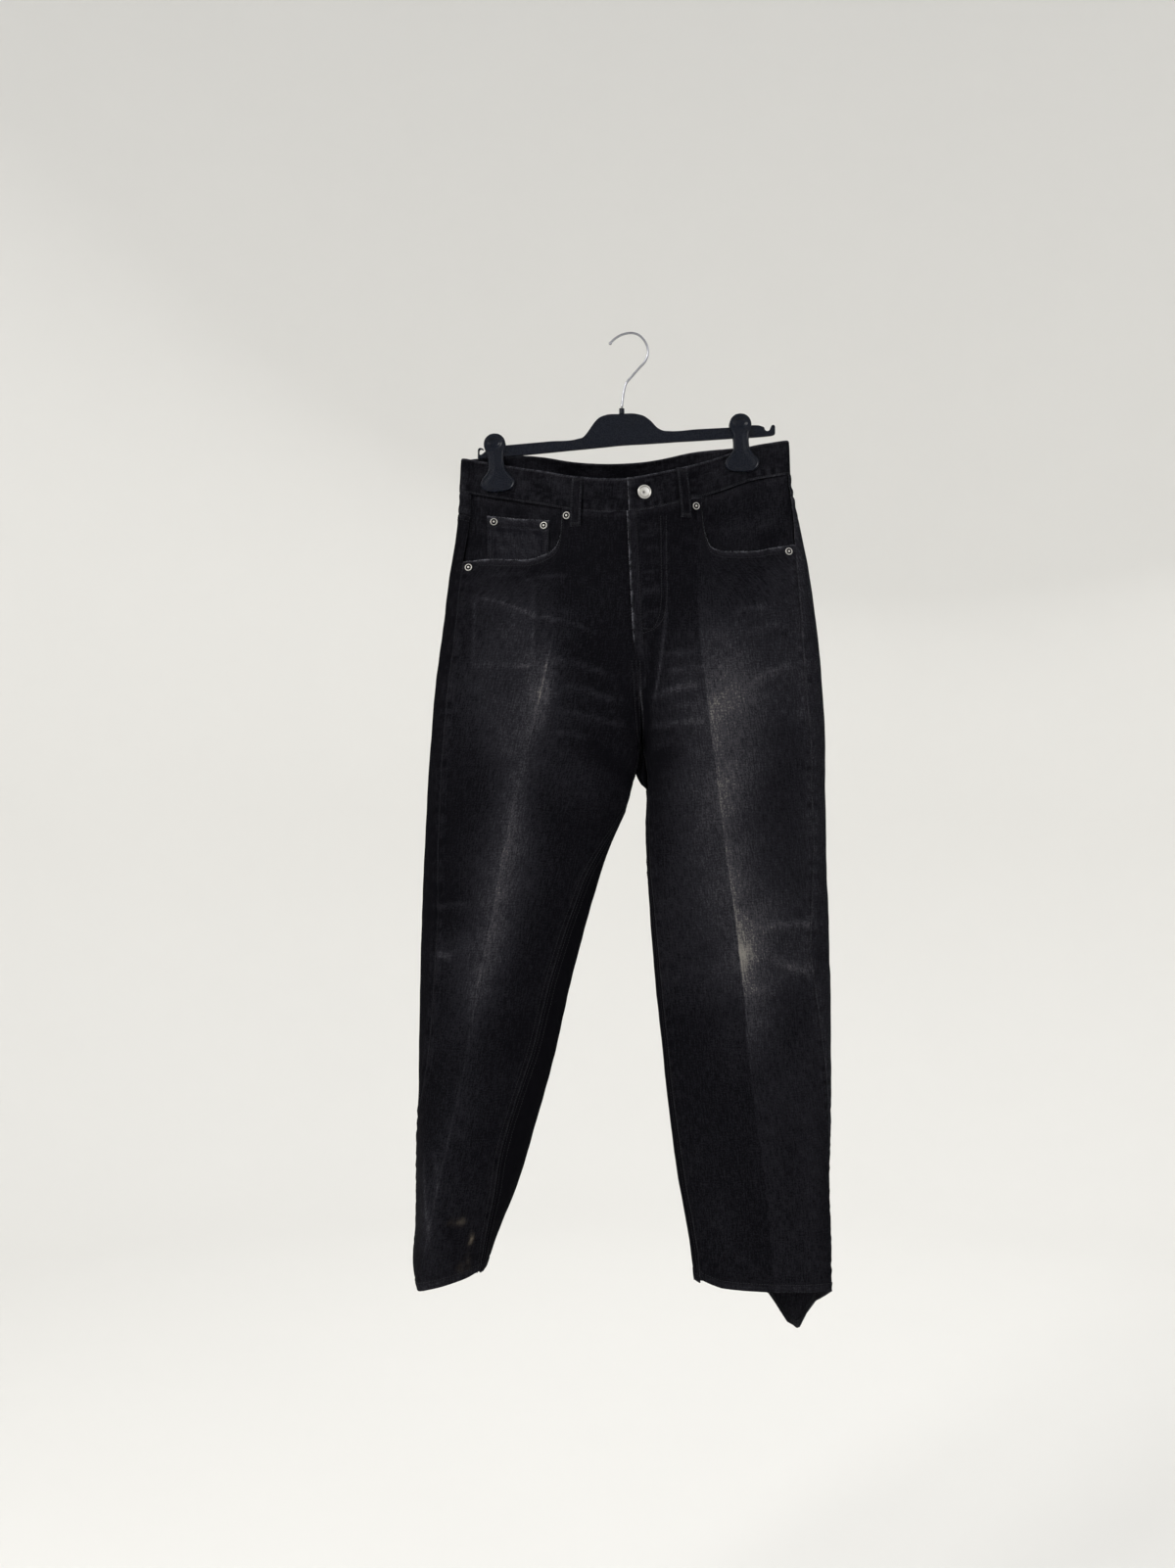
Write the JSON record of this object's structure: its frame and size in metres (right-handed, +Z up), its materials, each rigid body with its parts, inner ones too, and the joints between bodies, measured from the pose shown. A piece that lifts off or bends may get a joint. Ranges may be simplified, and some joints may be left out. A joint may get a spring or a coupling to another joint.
{
  "type": "boyfriend jeans on clip hanger",
  "caption": "Washed black boyfriend jeans with a button fly, pressed creases and tapered cropped legs, clipped by the waistband to a black plastic hanger with a wire hook.",
  "frame": {"origin": "underside of the hanger hook's crown, where it hangs on a rail", "axes": "+Z up, -Y the front of the jeans, +X towards the wearer's left (the viewer's right)"},
  "size_m": [0.5083, 0.1508, 1.235],
  "materials": {
    "denim": "washed black twill denim, faded at thighs, knees and creases",
    "worn_denim": "washed black twill denim with a worn edge",
    "silver_metal": "matt silver, lightly worn",
    "black_plastic": "smooth moulded black plastic, slight sheen",
    "steel_wire": "bright zinc-plated wire"
  },
  "bodies": {
    "root": {"front_right": "denim", "front_left": "denim", "back_right": "denim", "back_left": "denim", "yoke_right": "denim", "yoke_left": "denim", "waistband": "denim", "fly_stand": "denim", "facing_right": "denim", "facing_left": "denim", "back_pocket_right": "denim", "back_pocket_left": "denim", "belt_loop_1": "denim", "belt_loop_2": "denim", "belt_loop_3": "denim", "belt_loop_4": "denim", "belt_loop_5": "denim", "coin_pocket": "worn_denim", "button": "silver_metal", "rivet_1": "silver_metal", "rivet_2": "silver_metal", "rivet_3": "silver_metal", "rivet_4": "silver_metal", "rivet_5": "silver_metal", "rivet_6": "silver_metal", "hanger_body": "black_plastic", "clip_right": "black_plastic", "clip_left": "black_plastic", "hanger_hook": "steel_wire"}
  },
  "joints": []
}
